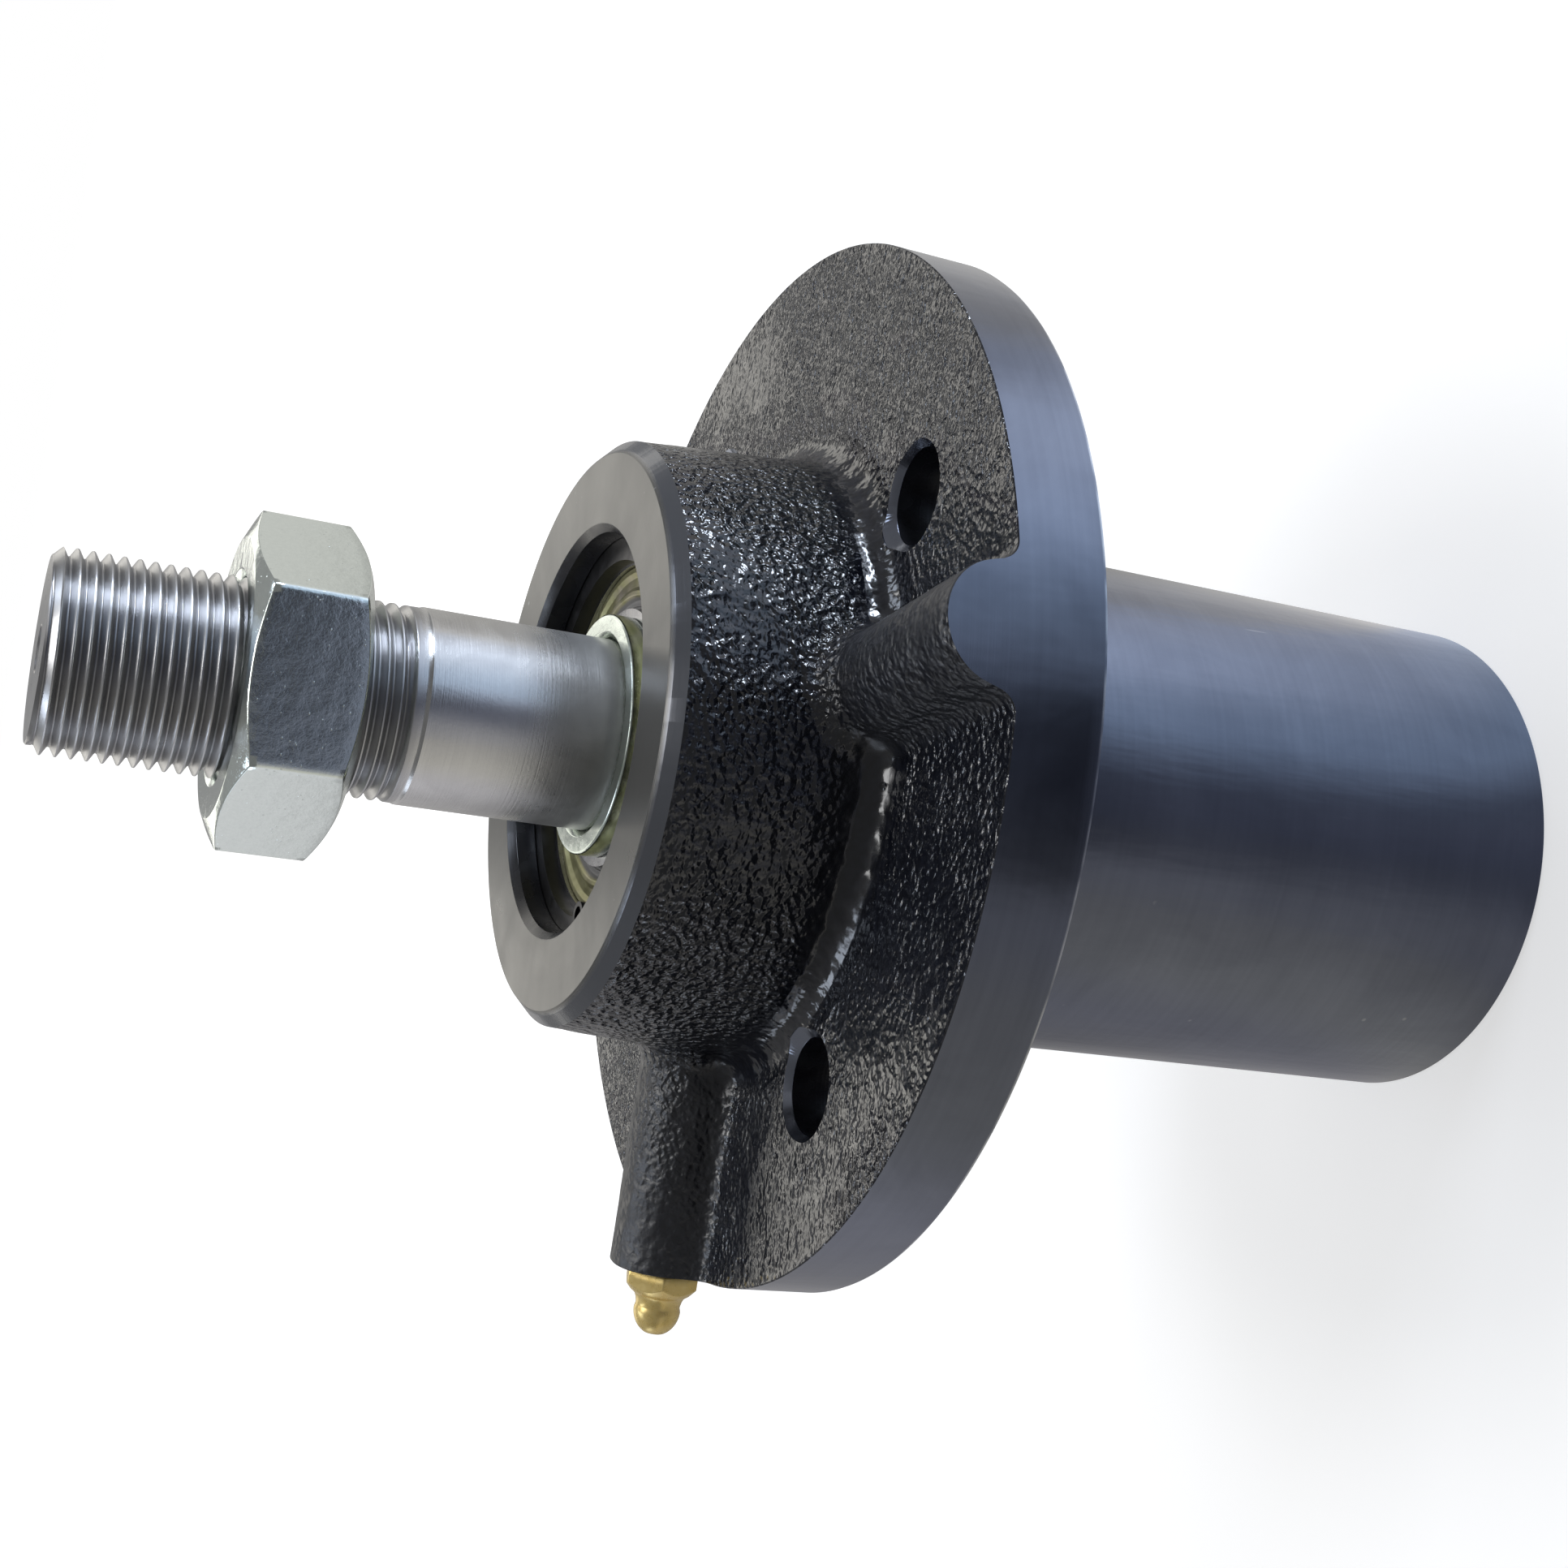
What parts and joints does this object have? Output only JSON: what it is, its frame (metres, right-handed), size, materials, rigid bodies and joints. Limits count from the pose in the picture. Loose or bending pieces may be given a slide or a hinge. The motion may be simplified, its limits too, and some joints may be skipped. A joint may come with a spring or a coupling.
{
  "type": "mower deck spindle",
  "caption": "Spindle that carries a mower blade under a deck: a bearing housing with a round flange, a shaft with a threaded end, a nut and a grease fitting.",
  "frame": {"origin": "centre of the flange's rear face, which bolts against the mower deck", "axes": "+Z along the shaft towards its threaded end, X along the long side of the rectangle of bolt holes"},
  "size_m": [0.1494, 0.14, 0.1991],
  "materials": {
    "housing_paint": "black paint over a cast skin, satin on the machined faces",
    "shaft_steel": "turned bright steel",
    "nut_zinc": "bright zinc plate",
    "washer_zinc": "zinc plate",
    "spacer_steel": "plain steel tube",
    "fitting_brass": "yellow plated",
    "ball_steel": "polished",
    "spring_steel": "drawn wire",
    "bearing_steel": "ground steel",
    "cage_steel": "pressed sheet steel",
    "seal_yellow_zinc": "yellow passivated zinc shield with a grey moulded lip",
    "circlip_steel": "phosphated spring steel"
  },
  "bodies": {
    "housing": {"housing": "housing_paint", "grease_fitting": "fitting_brass", "check_spring": "spring_steel", "upper_outer_ring": "bearing_steel", "upper_seal": "seal_yellow_zinc", "upper_circlip": "circlip_steel", "lower_outer_ring": "bearing_steel", "lower_seal": "seal_yellow_zinc", "lower_circlip": "circlip_steel"},
    "rotor": {"shaft": "shaft_steel", "pulley_washer": "washer_zinc", "bearing_spacer": "spacer_steel", "upper_inner_ring": "bearing_steel", "lower_inner_ring": "bearing_steel"},
    "upper_ball_set": {"upper_balls": "ball_steel", "upper_cage_outer_half": "cage_steel", "upper_cage_inner_half": "cage_steel", "upper_cage_rivets": "cage_steel"},
    "lower_ball_set": {"lower_balls": "ball_steel", "lower_cage_outer_half": "cage_steel", "lower_cage_inner_half": "cage_steel", "lower_cage_rivets": "cage_steel"},
    "nut": {"shaft_nut": "nut_zinc"},
    "check_ball": {"check_ball": "ball_steel"}
  },
  "joints": [
    {"name": "shaft_spin", "type": "hinge", "parent": "housing", "child": "rotor", "pos_m": [0, 0, 0], "axis": [0, 0, 1], "continuous": true},
    {"name": "upper_cage_spin", "type": "hinge", "parent": "housing", "child": "upper_ball_set", "pos_m": [0, 0, 0.02505], "axis": [0, 0, 1], "continuous": true},
    {"name": "lower_cage_spin", "type": "hinge", "parent": "housing", "child": "lower_ball_set", "pos_m": [0, 0, -0.08095], "axis": [0, 0, 1], "continuous": true},
    {"name": "nut_travel", "type": "slide", "parent": "rotor", "child": "nut", "axis": [0, 0, 1], "range_m": [-0.008, 0.021]},
    {"name": "check_ball_lift", "type": "slide", "parent": "housing", "child": "check_ball", "axis": [0.9986, 0.0523, 0], "range_m": [0, 0.0006], "stiffness_N_per_m": 200, "springref_m": -0.002, "deforming": ["check_spring"]}
  ],
  "couplings": [
    {"joint": "upper_cage_spin", "follows": "shaft_spin", "ratio": 0.3982},
    {"joint": "lower_cage_spin", "follows": "shaft_spin", "ratio": 0.3982}
  ]
}
